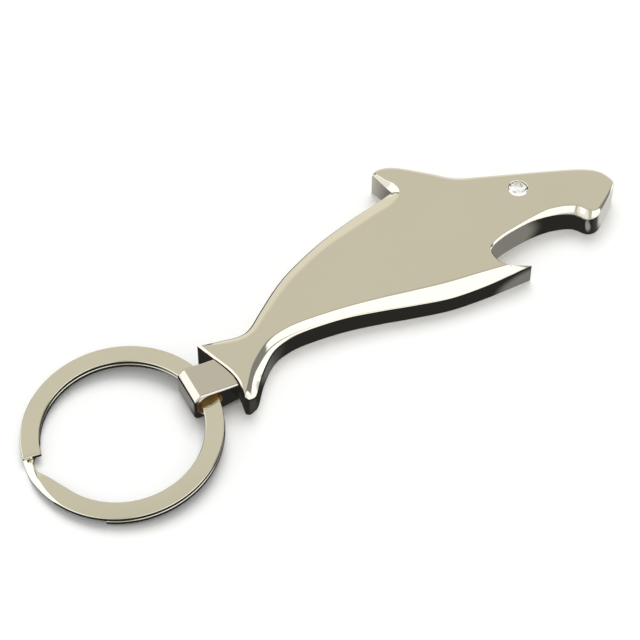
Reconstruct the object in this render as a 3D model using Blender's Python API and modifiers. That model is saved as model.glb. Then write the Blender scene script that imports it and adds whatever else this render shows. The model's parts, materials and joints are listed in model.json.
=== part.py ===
"""Souvenir bottle opener: a shark-shaped cast plate with a set eye stone,
a link riveted into its tail and a two-turn split ring.

The plate lies on its flat back at z = 0, with the nose towards +X and the
dorsal fin towards +Y. The origin is in the middle of the back. Sizes are in
millimetres and become metres where the vertices are made.
"""
import math

import bmesh
import bpy
from mathutils import Vector

MM = 0.001

# Shark plate
PLATE_THICK = 5.0
BACK_EDGE = 0.25            # small round along the edge of the flat back
SPAN_STEPS = 4              # outline samples between two control points

# Split ring: a flat strip wound in two turns
RING_OUTER_DIA = 32.0
RING_BAND = 3.0             # width of the strip, seen from above
RING_STRIP = 0.62           # thickness of the strip
RING_COIL_GAP = 0.43        # air between the two turns
RING_CORNER = 0.2           # chamfer along the strip's edges
RING_TURN_POINTS = 48
RING_UPPER_END_DEG = 165.0  # free end of the upper turn, counted from the link
RING_END_CLEAR_DEG = 4.0    # from that free end to the foot of the ramp
RING_RAMP_DEG = 30.0        # ramp that joins the two turns
RING_START_CLEAR_DEG = 32.0  # from the top of the ramp to the lower free end
RING_YAW_DEG = 4.5          # the ring lies a little to one side of the link's line

# Link in the tail
LINK_AXIS_Y = -7.8          # line of the rivet
LINK_REACH = 4.95           # from the crescent of the tail to the middle of the eye
LINK_HEEL_SPARE = 0.3       # past the crescent, cut back to the heel gap
LINK_WIDTH = 6.3
LINK_HEEL_THICK = 4.0
LINK_EYE_WALL = 0.5         # above and below the eye
LINK_END_WALL = 0.55        # at the outer end
LINK_EYE_CLEAR = 0.17       # round the corners of the ring's section
LINK_EYE_FLARE = 0.35       # rounding of the eye's two mouths
LINK_CHAMFER = 0.85         # along the outer end of the top face
LINK_FOOT_ROUND = 0.9       # along the outer end of the bottom face
LINK_EDGE = 0.3
LINK_HEEL_GAP = 0.25        # heel to the crescent of the tail
LINK_FLOOR_GAP = 0.05       # under the link, when the plate lies flat

# Rivet that holds the link
RIVET_SHANK_DIA = 1.6
RIVET_HEAD_DIA = 2.8
RIVET_HEAD_THICK = 0.7
RIVET_DEPTH = 4.0           # shank inside the tail
RIVET_RUN_CLEAR = 0.15      # link on the rivet
RIVET_SEAT_GAP = 0.3        # rivet in the tail
RIVET_HEAD_SINK = 0.15      # head below the surface of the eye

# Eye of the shark: a faceted stone cemented into a round pocket
STONE_X = 22.3
STONE_Y = 3.1
STONE_DIA = 3.1
STONE_TABLE_DIA = 1.5
STONE_CROWN = 0.7
STONE_GIRDLE = 0.3
STONE_PAVILION = 0.3
STONE_FACETS = 12
STONE_STAND = 0.45          # crown above the plate's face
STONE_SIDE_GAP = 0.3
CEMENT_THICK = 0.3
SEAT_GAP = 0.2              # between stone, cement and pocket floor

# Control points of the plate's outline, counter-clockwise from the nose:
# x, y, width of the top bevel, drop of the top bevel, kind of corner.
# The bevel of a ridge corner runs to the end of the top face in the lower jaw.
SMOOTH, SHARP, RIDGE = range(3)
JAW_FACE_END = (12.75, -10.3)
MITRE_LIMIT = 0.3
OUTLINE = (
    (37.2, -2.15, 0.40, 0.40, SMOOTH),    # nose
    (36.25, 0.1, 0.45, 0.40, SMOOTH),
    (34.1, 1.8, 0.50, 0.45, SMOOTH),
    (30.0, 3.65, 0.50, 0.45, SMOOTH),     # forehead
    (18.8, 8.1, 0.55, 0.45, SMOOTH),
    (14.3, 10.1, 0.70, 0.50, SMOOTH),     # foot of the dorsal fin
    (11.0, 12.95, 0.60, 0.45, SMOOTH),
    (7.3, 16.15, 0.55, 0.45, SMOOTH),
    (5.2, 17.4, 0.55, 0.45, SMOOTH),
    (3.3, 17.7, 0.50, 0.45, SMOOTH),
    (2.25, 17.1, 0.50, 0.50, SHARP),      # tip of the fin
    (3.65, 12.75, 1.00, 1.20, SHARP),     # notch behind the fin
    (1.3, 12.25, 2.30, 1.20, SMOOTH),
    (-5.4, 10.85, 2.60, 1.25, SMOOTH),    # back
    (-12.4, 8.8, 2.10, 1.25, SMOOTH),
    (-19.1, 6.0, 1.95, 1.20, SMOOTH),
    (-23.0, 3.75, 1.85, 1.15, SMOOTH),
    (-27.3, 0.6, 1.60, 1.05, SMOOTH),
    (-30.2, -1.55, 1.40, 0.95, SMOOTH),
    (-32.4, -2.15, 1.30, 0.85, SMOOTH),   # tail stem, upper side
    (-35.3, -1.7, 1.10, 0.75, SMOOTH),
    (-39.2, -1.15, 0.35, 0.55, SHARP),    # upper prong
    (-38.05, -4.4, 0.35, 0.35, SMOOTH),   # crescent
    (-36.85, -7.8, 0.35, 0.35, SMOOTH),
    (-36.5, -10.4, 0.35, 0.35, SMOOTH),
    (-36.85, -13.8, 0.20, 0.45, SHARP),   # lower prong
    (-35.65, -13.75, 0.90, 1.40, SMOOTH),
    (-34.4, -13.05, 1.50, 1.90, SMOOTH),
    (-31.8, -9.9, 1.70, 2.00, SMOOTH),
    (-28.6, -7.15, 1.40, 1.85, SMOOTH),   # tail stem, lower side
    (-25.4, -6.1, 1.20, 1.60, SMOOTH),
    (-21.8, -5.95, 1.15, 1.40, SMOOTH),
    (-15.6, -6.6, 1.25, 1.35, SMOOTH),
    (-9.7, -7.9, 1.60, 1.45, SMOOTH),     # belly
    (-4.0, -9.45, 2.00, 1.55, SMOOTH),
    (1.9, -10.8, 2.20, 1.65, SMOOTH),
    (7.9, -11.3, 1.90, 1.60, SMOOTH),
    (12.2, -11.38, 1.30, 1.40, SMOOTH),
    (16.4, -11.4, 0.00, 1.25, RIDGE),     # tip of the lower jaw
    (13.5, -10.45, 0.00, 0.50, RIDGE),
    (12.4, -9.5, 0.30, 0.30, SMOOTH),
    (11.85, -8.3, 0.30, 0.30, SMOOTH),    # back of the mouth
    (11.8, -6.6, 0.30, 0.30, SMOOTH),
    (12.5, -5.5, 0.30, 0.30, SMOOTH),
    (14.7, -4.7, 0.35, 0.30, SMOOTH),
    (17.7, -4.2, 0.40, 0.30, SMOOTH),     # upper jaw
    (21.0, -3.9, 0.55, 0.40, SMOOTH),
    (24.1, -4.05, 0.95, 0.60, SMOOTH),
    (26.5, -4.7, 1.25, 0.80, SMOOTH),
    (28.1, -5.5, 1.20, 0.80, SMOOTH),
    (29.0, -6.5, 0.90, 0.70, SMOOTH),     # hook that lifts the cap
    (29.65, -7.45, 0.70, 0.60, SMOOTH),
    (30.7, -7.6, 0.65, 0.60, SMOOTH),
    (32.3, -7.0, 0.55, 0.55, SMOOTH),
    (35.3, -5.0, 0.45, 0.45, SMOOTH),
    (36.95, -3.4, 0.45, 0.45, SMOOTH),
)


def tail_edge_x():
    """Where the rivet's line meets the crescent of the tail."""
    crossings = []
    for start, end in zip(OUTLINE, OUTLINE[1:]):
        low, high = sorted((start[1], end[1]))
        if low <= LINK_AXIS_Y <= high and low < high:
            share = (LINK_AXIS_Y - start[1]) / (end[1] - start[1])
            crossings.append(start[0] + share * (end[0] - start[0]))
    return min(crossings)


# Worked out from the sizes above
TAIL_EDGE_X = tail_edge_x()
LINK_EYE_X = TAIL_EDGE_X - LINK_REACH
RING_THICK = 2 * RING_STRIP + RING_COIL_GAP
RING_MID_RADIUS = (RING_OUTER_DIA - RING_BAND) / 2
# the ring's bend inside the eye, and the section that has to pass
RING_INNER_RADIUS = RING_OUTER_DIA / 2 - RING_BAND
EYE_HALF_LENGTH = LINK_WIDTH / 2 - LINK_EYE_FLARE
RING_SAG = RING_INNER_RADIUS - math.sqrt(RING_INNER_RADIUS ** 2 - EYE_HALF_LENGTH ** 2)
RING_HALF_DIAGONAL = math.hypot(RING_BAND / 2, RING_THICK / 2 - RING_CORNER)
RING_SKEW = EYE_HALF_LENGTH * math.tan(math.radians(RING_YAW_DEG))
EYE_RADIUS = RING_HALF_DIAGONAL + RING_SAG / 2 + RING_SKEW + LINK_EYE_CLEAR
BARREL_RADIUS = EYE_RADIUS + LINK_EYE_WALL
LINK_END = EYE_RADIUS + LINK_END_WALL
LINK_AXIS_Z = BARREL_RADIUS + LINK_FLOOR_GAP
# the ring leans from the eye down to the surface that the plate lies on
RING_TILT = math.asin((LINK_AXIS_Z - RING_THICK / 2) / (RING_OUTER_DIA - RING_BAND / 2))
RIVET_HEAD_X = LINK_EYE_X + EYE_RADIUS + RIVET_HEAD_SINK
STONE_HEIGHT = STONE_CROWN + STONE_GIRDLE + STONE_PAVILION
STONE_BACK_Z = PLATE_THICK + STONE_STAND - STONE_HEIGHT
CEMENT_BACK_Z = STONE_BACK_Z - SEAT_GAP - CEMENT_THICK
POCKET_FLOOR_Z = CEMENT_BACK_Z - SEAT_GAP


def clear_scene():
    for old in list(bpy.data.objects):
        bpy.data.objects.remove(old)


def make_collection(name):
    collection = bpy.data.collections.new(name)
    bpy.context.scene.collection.children.link(collection)
    return collection


def metal(name, colour, roughness, metallic=1.0):
    material = bpy.data.materials.new(name)
    material.use_nodes = True
    shader = material.node_tree.nodes["Principled BSDF"]
    shader.inputs["Base Color"].default_value = (*colour, 1.0)
    shader.inputs["Roughness"].default_value = roughness
    shader.inputs["Metallic"].default_value = metallic
    material.diffuse_color = (*colour, 1.0)
    return material


def add_object(name, data, collection, material=None):
    piece = bpy.data.objects.new(name, data)
    collection.objects.link(piece)
    if material:
        data.materials.append(material)
    return piece


def add_cutter(name, data):
    cutter = add_object(name, data, cutters)
    cutter.hide_render = True
    cutter.display_type = "WIRE"
    return cutter


def cut(piece, cutter):
    boolean = piece.modifiers.new("cut_" + cutter.name, "BOOLEAN")
    boolean.operation = "DIFFERENCE"
    boolean.solver = "EXACT"
    boolean.object = cutter


def place(piece, x, y, z, turn=(0.0, 0.0, 0.0)):
    piece.location = (x * MM, y * MM, z * MM)
    piece.rotation_euler = turn


def mesh_from(name, build):
    """Run a bmesh builder and return its mesh, smooth but for sharp edges."""
    work = bmesh.new()
    build(work)
    bmesh.ops.recalc_face_normals(work, faces=work.faces)
    mesh = bpy.data.meshes.new(name)
    work.to_mesh(mesh)
    work.free()
    mesh.shade_smooth()
    mesh.set_sharp_from_angle(angle=math.radians(30))
    return mesh


def cylinder_mesh(name, radius, length, sides=32):
    def build(work):
        bmesh.ops.create_cone(work, cap_ends=True, segments=sides, radius1=radius * MM,
                              radius2=radius * MM, depth=length * MM)
    return mesh_from(name, build)


def profile_mesh(name, profile):
    """Edges through (radius, height) points, from the top axis point downwards."""
    work = bmesh.new()
    corners = [work.verts.new((radius * MM, 0.0, height * MM)) for radius, height in profile]
    for upper, lower in zip(corners, corners[1:]):
        work.edges.new((upper, lower))
    mesh = bpy.data.meshes.new(name)
    work.to_mesh(mesh)
    work.free()
    return mesh


def turn_profile(piece, steps):
    screw = piece.modifiers.new("turn", "SCREW")
    screw.axis = "Z"
    screw.steps = steps
    screw.render_steps = steps
    screw.use_merge_vertices = True
    screw.merge_threshold = 0.00001


def catmull_rom(before, start, end, after, share):
    """Point at a share of the way from start to end on a smooth curve."""
    square = share * share
    cube = square * share
    return (0.5 * ((2 * start) + (end - before) * share
                   + (2 * before - 5 * start + 4 * end - after) * square
                   + (3 * start - before - 3 * end + after) * cube))


def knot_bevels():
    """For each control point, the step from the plate's edge to its top face."""
    count = len(OUTLINE)
    spots = [Vector(point[:2]) for point in OUTLINE]
    steps = []
    for index, point in enumerate(OUTLINE):
        last = (spots[index] - spots[index - 1]).normalized()
        following = (spots[(index + 1) % count] - spots[index]).normalized()
        along = (last + following).normalized()
        mitre = max(MITRE_LIMIT, along.dot(following)) if point[4] == SHARP else 1.0
        step = Vector((-along.y, along.x)) * point[2] / mitre
        steps.append(Vector(JAW_FACE_END) - spots[index] if point[4] == RIDGE else step)
    return steps


def outline_samples():
    """The plate's outline as 5D vectors: x, y, bevel step x, bevel step y, bevel drop."""
    count = len(OUTLINE)
    knots = [Vector((point[0], point[1], step.x, step.y, point[3]))
             for point, step in zip(OUTLINE, knot_bevels())]
    sharp = [point[4] != SMOOTH for point in OUTLINE]
    samples = []
    for index in range(count):
        following = (index + 1) % count
        start = knots[index]
        end = knots[following]
        if sharp[index] and sharp[following]:
            samples.append(start)
            continue
        before = start * 2 - end if sharp[index] else knots[index - 1]
        after = end * 2 - start if sharp[following] else knots[(index + 2) % count]
        for step in range(SPAN_STEPS):
            samples.append(catmull_rom(before, start, end, after, step / SPAN_STEPS))
    return samples


def inward_directions(samples):
    """Unit vectors that point into the plate, halfway between adjoining edges."""
    count = len(samples)
    directions = []
    for index in range(count):
        here = samples[index].to_2d()
        last = (here - samples[index - 1].to_2d()).normalized()
        following = (samples[(index + 1) % count].to_2d() - here).normalized()
        along = (last + following).normalized()
        directions.append(Vector((-along.y, along.x)))
    return directions


def loft_rings(work, rings):
    """Close a stack of equal rings of points into one solid."""
    loops = [[work.verts.new(point * MM) for point in ring] for ring in rings]
    count = len(loops[0])
    for lower, upper in zip(loops, loops[1:]):
        for index in range(count):
            following = (index + 1) % count
            work.faces.new((lower[index], lower[following], upper[following], upper[index]))
    work.faces.new(reversed(loops[0]))
    work.faces.new(loops[-1])
    bmesh.ops.remove_doubles(work, verts=work.verts, dist=0.000001)


def plate_mesh():
    samples = outline_samples()
    inward = inward_directions(samples)
    back = []
    wall_foot = []
    wall_top = []
    face = []
    for sample, direction in zip(samples, inward):
        x, y, step_x, step_y, drop = sample
        back.append(Vector((x + direction.x * BACK_EDGE, y + direction.y * BACK_EDGE, 0.0)))
        wall_foot.append(Vector((x, y, BACK_EDGE)))
        wall_top.append(Vector((x, y, PLATE_THICK - drop)))
        face.append(Vector((x + step_x, y + step_y, PLATE_THICK)))
    return mesh_from("shark_plate", lambda work: loft_rings(work, (back, wall_foot, wall_top, face)))


def heel_cutter_mesh():
    """The plate's outline grown by the heel gap, taller than the link."""
    samples = outline_samples()
    inward = inward_directions(samples)
    grown = [sample.to_2d() - direction * LINK_HEEL_GAP for sample, direction in zip(samples, inward)]

    def build(work):
        loft_rings(work, (
            [Vector((spot.x, spot.y, -PLATE_THICK)) for spot in grown],
            [Vector((spot.x, spot.y, 3 * PLATE_THICK)) for spot in grown],
        ))
    return mesh_from("heel_cutter", build)


def link_profile():
    """Side view of the link round the middle of its eye: x, z pairs."""
    heel_x = LINK_REACH + LINK_HEEL_SPARE
    half_heel = LINK_HEEL_THICK / 2
    reach = math.hypot(heel_x, half_heel)
    rise = math.asin(BARREL_RADIUS / reach) - math.atan2(half_heel, heel_x)
    top_end = LINK_END - LINK_CHAMFER
    top_z = half_heel + (heel_x + top_end) * math.tan(rise)
    points = [(heel_x, half_heel), (-top_end, top_z), (-LINK_END, top_z - LINK_CHAMFER)]
    steps = 5
    for step in range(steps + 1):
        angle = math.radians(180 + 90 * step / steps)
        points.append((LINK_FOOT_ROUND * (1 + math.cos(angle)) - LINK_END,
                       LINK_FOOT_ROUND * (1 + math.sin(angle)) - BARREL_RADIUS))
    points.append((0.0, -BARREL_RADIUS))
    points.append((heel_x, -half_heel))
    return points


def link_mesh():
    def build(work):
        corners = [work.verts.new((x * MM, -LINK_WIDTH / 2 * MM, z * MM)) for x, z in link_profile()]
        side = work.faces.new(corners)
        grown = bmesh.ops.extrude_face_region(work, geom=[side])
        moved = [item for item in grown["geom"] if isinstance(item, bmesh.types.BMVert)]
        bmesh.ops.translate(work, verts=moved, vec=(0.0, LINK_WIDTH * MM, 0.0))
    return mesh_from("tail_link", build)


def add_shark_body():
    body = add_object("shark_body", plate_mesh(), parts, metal("bright_nickel", (0.75, 0.72, 0.62), 0.08))
    bore = add_cutter("rivet_bore", cylinder_mesh(
        "rivet_bore", RIVET_SHANK_DIA / 2 + RIVET_SEAT_GAP, 2 * (RIVET_DEPTH + RIVET_SEAT_GAP), 24))
    place(bore, TAIL_EDGE_X, LINK_AXIS_Y, LINK_AXIS_Z, (0.0, math.radians(90), 0.0))
    pocket_height = 2 * PLATE_THICK
    pocket = add_cutter("eye_pocket", cylinder_mesh(
        "eye_pocket", STONE_DIA / 2 + STONE_SIDE_GAP, pocket_height, 36))
    place(pocket, STONE_X, STONE_Y, POCKET_FLOOR_Z + pocket_height / 2)
    cut(body, bore)
    cut(body, pocket)
    return body


def add_tail_link(body):
    link = add_object("tail_link", link_mesh(), parts, metal("bright_nickel_link", (0.68, 0.65, 0.56), 0.1))
    edges = link.modifiers.new("soft_edges", "BEVEL")
    edges.width = LINK_EDGE * MM
    edges.segments = 2
    edges.limit_method = "ANGLE"
    edges.angle_limit = math.radians(35)
    place(link, LINK_EYE_X, LINK_AXIS_Y, LINK_AXIS_Z)
    link.parent = body

    heel = add_cutter("link_heel", heel_cutter_mesh())
    half = LINK_WIDTH / 2
    flared = EYE_RADIUS + LINK_EYE_FLARE
    eye = add_cutter("link_eye", profile_mesh("link_eye", (
        (0.0, half + 1.0), (flared, half + 1.0), (flared, half), (EYE_RADIUS, half - LINK_EYE_FLARE),
        (EYE_RADIUS, LINK_EYE_FLARE - half), (flared, -half), (flared, -half - 1.0), (0.0, -half - 1.0))))
    turn_profile(eye, 40)
    place(eye, LINK_EYE_X, LINK_AXIS_Y, LINK_AXIS_Z, (math.radians(90), 0.0, 0.0))
    head_seat_x = RIVET_HEAD_X + RIVET_HEAD_THICK + RIVET_RUN_CLEAR - LINK_EYE_X
    head_radius = RIVET_HEAD_DIA / 2 + RIVET_RUN_CLEAR
    shank_radius = RIVET_SHANK_DIA / 2 + RIVET_RUN_CLEAR
    seat = add_cutter("rivet_seat", profile_mesh("rivet_seat", (
        (0.0, LINK_WIDTH * 2), (shank_radius, LINK_WIDTH * 2), (shank_radius, head_seat_x),
        (head_radius, head_seat_x), (head_radius, EYE_RADIUS / 2), (0.0, EYE_RADIUS / 2))))
    turn_profile(seat, 32)
    place(seat, LINK_EYE_X, LINK_AXIS_Y, LINK_AXIS_Z, (0.0, math.radians(90), 0.0))
    for cutter in (heel, eye, seat):
        cut(link, cutter)
    return link


def add_swivel_rivet(body):
    head = RIVET_HEAD_DIA / 2
    shank = RIVET_SHANK_DIA / 2
    length = TAIL_EDGE_X + RIVET_DEPTH - RIVET_HEAD_X
    rivet = add_object("swivel_rivet", profile_mesh("swivel_rivet", (
        (0.0, length), (shank, length), (shank, RIVET_HEAD_THICK), (head, RIVET_HEAD_THICK),
        (head, 0.0), (0.0, 0.0))), parts, metal("brass_rivet", (0.52, 0.36, 0.16), 0.3))
    turn_profile(rivet, 24)
    place(rivet, RIVET_HEAD_X, LINK_AXIS_Y, LINK_AXIS_Z, (0.0, math.radians(90), 0.0))
    rivet.parent = body


def ring_path():
    """Middle of the strip's section along both turns, seen from the eye of the link."""
    step = 2 * math.pi / RING_TURN_POINTS
    turn = 2 * math.pi
    upper_end = math.radians(RING_UPPER_END_DEG)
    ramp_foot = upper_end + math.radians(RING_END_CLEAR_DEG)
    ramp = math.radians(RING_RAMP_DEG)
    lower_start = ramp_foot + ramp + math.radians(RING_START_CLEAR_DEG)
    steps = round((upper_end + 2 * turn - lower_start) / step)
    climb = RING_STRIP + RING_COIL_GAP
    points = []
    for index in range(steps + 1):
        angle = upper_end + 2 * turn - (steps - index) * step
        share = min(1.0, max(0.0, (angle - turn - ramp_foot) / ramp))
        height = climb * (0.5 - 0.5 * math.cos(math.pi * share)) - climb / 2
        points.append(Vector((RING_MID_RADIUS * (math.cos(angle) - 1.0) + RING_SAG / 2,
                              RING_MID_RADIUS * math.sin(angle), height)))
    return points


def print_ring_gap(points):
    """Least air between turns, on the strip's middle points at least half a turn apart."""
    half_turn = RING_TURN_POINTS // 2
    least = min((first - second).length for index, first in enumerate(points)
                for second in points[index + half_turn:])
    print("split_ring least gap to itself: %.3f mm" % (least - RING_STRIP))


def add_split_ring(link):
    half_band = RING_BAND / 2
    half_strip = RING_STRIP / 2
    corner = RING_CORNER
    section = bpy.data.curves.new("ring_section", "CURVE")
    section.dimensions = "2D"
    loop = section.splines.new("POLY")
    spots = []
    for side_x, side_y in ((1, 1), (-1, 1), (-1, -1), (1, -1)):
        flat = (side_x * (half_band - corner), side_y * half_strip)
        edge = (side_x * half_band, side_y * (half_strip - corner))
        spots += [edge, flat] if side_x == side_y else [flat, edge]
    loop.points.add(len(spots) - 1)
    for spot, point in zip(spots, loop.points):
        point.co = (spot[0] * MM, spot[1] * MM, 0.0, 1.0)
    loop.use_cyclic_u = True
    section_guide = add_cutter("ring_section", section)

    path = bpy.data.curves.new("split_ring_path", "CURVE")
    path.dimensions = "3D"
    path.twist_mode = "Z_UP"
    path.bevel_mode = "OBJECT"
    path.bevel_object = section_guide
    path.use_fill_caps = True
    strip = path.splines.new("POLY")
    points = ring_path()
    print_ring_gap(points)
    strip.points.add(len(points) - 1)
    for spot, point in zip(points, strip.points):
        point.co = (*(spot * MM), 1.0)
    wire = add_object("split_ring_wire", path, cutters)
    bpy.context.view_layer.update()
    mesh = bpy.data.meshes.new_from_object(wire.evaluated_get(bpy.context.evaluated_depsgraph_get()))
    bpy.data.objects.remove(wire)
    work = bmesh.new()
    work.from_mesh(mesh)
    bmesh.ops.remove_doubles(work, verts=work.verts, dist=0.00001)
    bmesh.ops.recalc_face_normals(work, faces=work.faces)
    work.to_mesh(mesh)
    work.free()
    mesh.materials.clear()
    mesh.shade_smooth()
    mesh.set_sharp_from_angle(angle=math.radians(30))
    ring = add_object("split_ring", mesh, parts, metal("bright_nickel_steel", (0.76, 0.73, 0.63), 0.07))
    place(ring, 0.0, 0.0, 0.0, (0.0, -RING_TILT, math.radians(RING_YAW_DEG)))
    ring.parent = link


def add_eye_stone(body):
    radius = STONE_DIA / 2
    table = STONE_TABLE_DIA / 2
    girdle_top = STONE_HEIGHT - STONE_CROWN
    stone = add_object("eye_stone", profile_mesh("eye_stone", (
        (0.0, STONE_HEIGHT), (table, STONE_HEIGHT), (radius, girdle_top), (radius, STONE_PAVILION),
        (radius - STONE_PAVILION, 0.0), (0.0, 0.0))), parts, metal("clear_crystal", (0.95, 0.95, 0.94), 0.02, 0.0))
    turn_profile(stone, STONE_FACETS)
    place(stone, STONE_X, STONE_Y, STONE_BACK_Z)
    stone.parent = body
    cement = add_object("eye_cement", cylinder_mesh(
        "eye_cement", radius - STONE_PAVILION, CEMENT_THICK, 24), parts,
        metal("set_cement", (0.72, 0.7, 0.64), 0.5, 0.0))
    place(cement, STONE_X, STONE_Y, CEMENT_BACK_Z + CEMENT_THICK / 2)
    cement.parent = body


clear_scene()
parts = make_collection("souvenir_bottle_opener")
cutters = make_collection("cutters")
shark_body = add_shark_body()
tail_link = add_tail_link(shark_body)
add_swivel_rivet(shark_body)
add_split_ring(tail_link)
add_eye_stone(shark_body)
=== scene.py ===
"""Looks of the souvenir bottle opener: a polished shark plate with a set eye stone,
a link in its tail and a two-turn split ring, lying on white paper."""
import json
import math
from collections import namedtuple

import bmesh
import bpy
from mathutils import Matrix, Vector


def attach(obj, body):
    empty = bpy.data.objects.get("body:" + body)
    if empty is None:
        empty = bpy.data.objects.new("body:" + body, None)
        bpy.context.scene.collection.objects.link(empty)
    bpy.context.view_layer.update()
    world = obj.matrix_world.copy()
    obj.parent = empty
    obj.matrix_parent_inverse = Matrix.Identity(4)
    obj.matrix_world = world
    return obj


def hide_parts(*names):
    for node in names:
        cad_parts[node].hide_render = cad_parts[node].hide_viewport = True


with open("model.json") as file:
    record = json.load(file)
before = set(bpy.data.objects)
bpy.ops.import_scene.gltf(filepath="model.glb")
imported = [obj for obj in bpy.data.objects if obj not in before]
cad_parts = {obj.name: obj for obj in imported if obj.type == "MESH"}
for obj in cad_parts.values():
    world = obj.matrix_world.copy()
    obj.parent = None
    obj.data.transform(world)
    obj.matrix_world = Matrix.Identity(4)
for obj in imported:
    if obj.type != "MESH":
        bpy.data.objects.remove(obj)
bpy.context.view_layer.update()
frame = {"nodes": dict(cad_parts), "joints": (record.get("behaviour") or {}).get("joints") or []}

# Lengths are in millimetres, and become metres in the meshes
MM = 0.001
MERGE = 0.001               # points closer than this become one
PIECE_CREASE_DEG = 32.0     # edges sharper than this stay sharp
WAVE_RADIANS = 20.0         # a wave pattern turns by this over a metre, at scale 1

# Shark plate
PLATE_THICK = 5.0
PLATE_MERGE = 0.004         # more, because its outline has points in one place
BACK_INSET = 0.3            # from the wall to where the flat back is filled in
BACK_CREASE = 0.12
LIP_FOOT_SHARE = 0.28       # rounding below and above the lip, as shares of its drop
LIP_HEAD_SHARE = 0.3
FACE_MARGIN = 2.2           # top face beside the bevel's inner border, in softnesses
CREASE_REACH = 0.45         # share of the edges beside it that a round may take
SPAN_STEPS = 10             # outline samples between two control points
CREASE_STEPS = 5            # strips round each softened crease

# Split ring
RING_OUTER_DIA = 32.0
RING_BAND = 3.0
RING_STRIP = 0.79
RING_COIL_GAP = 0.09
RING_CORNER = 0.17
RING_CORNER_STEPS = 5
RING_STEP_DEG = 2.5
RING_UPPER_END_DEG = 165.0
RING_LOWER_START_DEG = 231.0
RING_END_ROUND = 0.15
RING_END_STEPS = 3
RING_RAMP_FOOT_DEG = 167.0
RING_RAMP_DEG = 20.0
CROSS_NARROW = 1.6          # inner border of the crossing strip stands back by this much
CROSS_LEAN = 1.15           # its outer border leans over this width
CROSS_LEAN_DROP = 0.66
CROSS_HIDDEN_DEG = 12.0     # the shaping starts under the upper free end,
CROSS_LEAD_DEG = 8.0        # is whole up to here past the foot of the ramp
CROSS_LENGTH_DEG = 38.0     # and dies out here
CORNER_SPARE = 0.01         # finds the points that belong to a rounded corner
RING_YAW_DEG = 4.5
RING_TILT_DEG = 3.547       # down to the table on the far side
RING_SHIFT = 0.157          # the ring's bend sits in the middle of the eye

# Link in the tail: both hinges cross in the middle of its eye
EYE_CENTRE = Vector(frame["joints"][0]["pos_m"]) / MM
EYE_RADIUS = 2.1718
EYE_FLARE = 0.35
EYE_FLARE_STEP_DEG = 15
EYE_SIDES = 96
EYE_CUT_SPARE = 1.0         # cutter past both mouths of the eye
EYE_WALL = 0.5              # metal round the eye, and at the link's outer end
END_WALL = 0.55
BARREL_RADIUS = EYE_RADIUS + EYE_WALL
LINK_END = EYE_RADIUS + END_WALL
LINK_WIDTH = 6.3
LINK_HEEL_X = 5.25          # before the heel is cut clear of the plate
LINK_HEEL_THICK = 4.0
LINK_HEEL_GAP = 0.25
LINK_CHAMFER = 1.1
LINK_FOOT_ROUND = 0.9
LINK_FOOT_STEPS = 10
LINK_EDGE = 0.42
LINK_EDGE_STEPS = 4
LINK_EDGE_LEAST_DEG = 30.0  # edges sharper than this are rounded
LINK_MERGE = 0.002          # more, because of its cuts
LINK_FLAT_DEG = 0.5         # faces closer to one plane than this become one
HEEL_CUT_FOOT = -5.0        # the cutter starts below the link and ends above it
HEEL_CUT_HEIGHT = 20.0
BORE_SPARE = 0.02           # finds the faces inside the eye,
BORE_RIM = 0.1              # short of its two mouths

# Eye stone, its foil and its pocket, with heights over the plate's back
STONE_X = 22.3
STONE_Y = 3.1
STONE_TURN = 0.3            # in radians
STONE_RADIUS = 1.55
STONE_GIRDLE_TOP = 4.75
STONE_GIRDLE_FOOT = 4.6
STONE_FLAT_DEG = 2.0
STONE_CREASE_DEG = 1.0
STONE_RINGS = (             # points, radius, height, turn as a share of their spacing
    (8, 0.78, 5.45, 0.5),                           # table
    (8, 1.18, 5.16, 0.0),                           # crown
    (16, STONE_RADIUS, STONE_GIRDLE_TOP, 0.0),
    (16, STONE_RADIUS, STONE_GIRDLE_FOOT, 0.0),
    (8, 0.62, 4.02, 0.5),                           # pavilion
    (1, 0.0, 3.75, 0.0),                            # culet
)
FOIL_PROFILE = (            # radius, height
    (0.0, 3.62), (0.62, 3.9), (1.56, 4.52), (1.6, 4.5), (1.6, 3.5), (0.0, 3.5))
FOIL_SIDES = 48
POCKET_RADIUS = 1.66
POCKET_CHAMFER = 0.06
POCKET_FLOOR = 3.45
POCKET_SIDES = 64

# Camera, which sees the part as the photo does
SENSOR = 36.0
LENS = 140.625
CAMERA_TARGET = Vector((-17.9, -2.5, 0.0))
CAMERA_TURN_DEG = -27.8
CAMERA_RISE_DEG = 53.0
CAMERA_AWAY = 405.5
CLIP_START = 10.0

# Light of the room: a soft lamp from the far side, an even fill for matt surfaces, and
# what mirrors see, which is a dim room with soft panels in it
KEY_ENERGY = 1.6
KEY_SPREAD_DEG = 40.0
KEY_FROM = Vector((0.36, 0.58, 1.15))
FILL_LIGHT = 0.68
ROOM_LIGHT = 0.30
STONE_LIGHT = 1.15          # least light that reaches the eye through its stone
DAYLIGHT = "#ffffff"
BEIGE_WALL = "#fffbec"

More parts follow.
